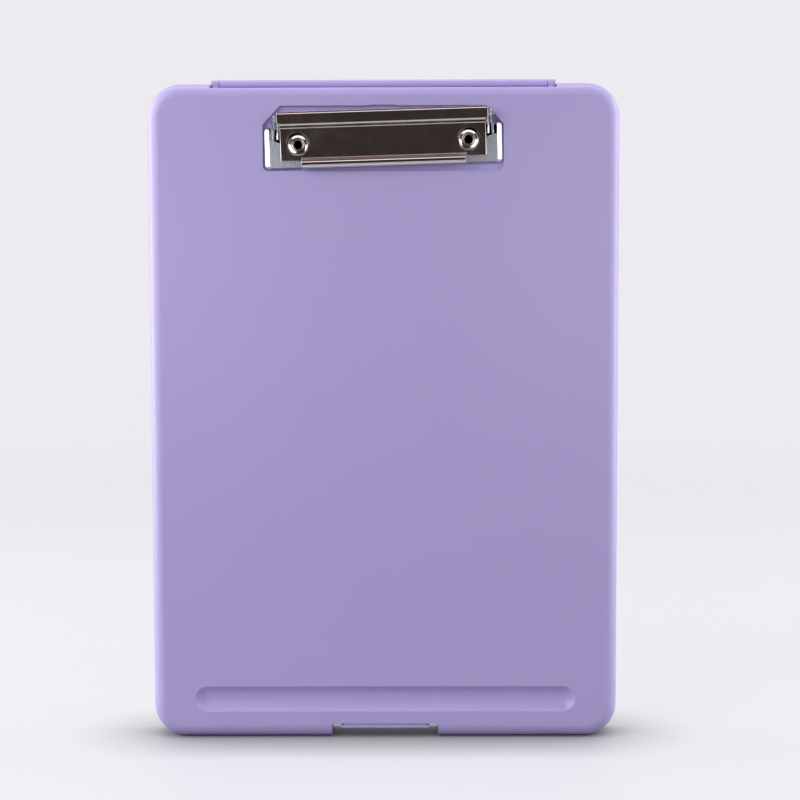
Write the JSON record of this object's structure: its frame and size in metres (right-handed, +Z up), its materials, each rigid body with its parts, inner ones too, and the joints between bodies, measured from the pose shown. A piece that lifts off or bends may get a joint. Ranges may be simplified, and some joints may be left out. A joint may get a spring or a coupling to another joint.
{
  "type": "storage clipboard box",
  "caption": "Slim hinged storage box whose lid is a clipboard with a low-profile spring clip, a pen groove and a latch strap.",
  "frame": {"origin": "centre of the standing edge: middle of the width and of the whole depth, at the bottom edge that the box stands on", "axes": "+Z up from the latch edge to the hinge edge, -Y out of the writing face, +X to the right seen from the front"},
  "size_m": [0.24, 0.031, 0.3382],
  "materials": {
    "shell_plastic": "satin moulded polypropylene",
    "plated_sheet": "bright nickel-plated sheet steel",
    "plated_rivet": "bright nickel-plated steel",
    "plain_steel": "drawn steel",
    "spring_wire": "drawn spring steel wire"
  },
  "bodies": {
    "tray": {"base_tray": "shell_plastic", "hinge_pin": "plain_steel"},
    "lid": {"lid": "shell_plastic", "latch_web": "shell_plastic", "clip_base_plate": "plated_sheet", "clip_rod": "plain_steel", "clip_spring_left": "spring_wire", "clip_spring_right": "spring_wire", "rivet_left": "plated_rivet", "rivet_right": "plated_rivet", "washer_left": "plain_steel", "washer_right": "plain_steel"},
    "flap": {"clip_flap": "plated_sheet"},
    "latch": {"latch_strap": "shell_plastic"}
  },
  "joints": [
    {"name": "lid_hinge", "type": "hinge", "parent": "tray", "child": "lid", "pos_m": [0, -0.001, 0.33615], "axis": [-1, 0, 0], "range_deg": [0, 180]},
    {"name": "clip_pivot", "type": "hinge", "parent": "lid", "child": "flap", "pos_m": [-0.00036, -0.0121, 0.31839], "axis": [-0.9996, 0, -0.0297], "range_deg": [0, 25], "stiffness_Nm_per_rad": 0.15, "springref_deg": -34.38, "deforming": ["clip_spring_left", "clip_spring_right"]},
    {"name": "latch_hinge", "type": "hinge", "parent": "lid", "child": "latch", "pos_m": [0, -0.0087, 0.0069], "axis": [-1, 0, 0], "range_deg": [0, 90], "deforming": ["latch_web"]}
  ]
}
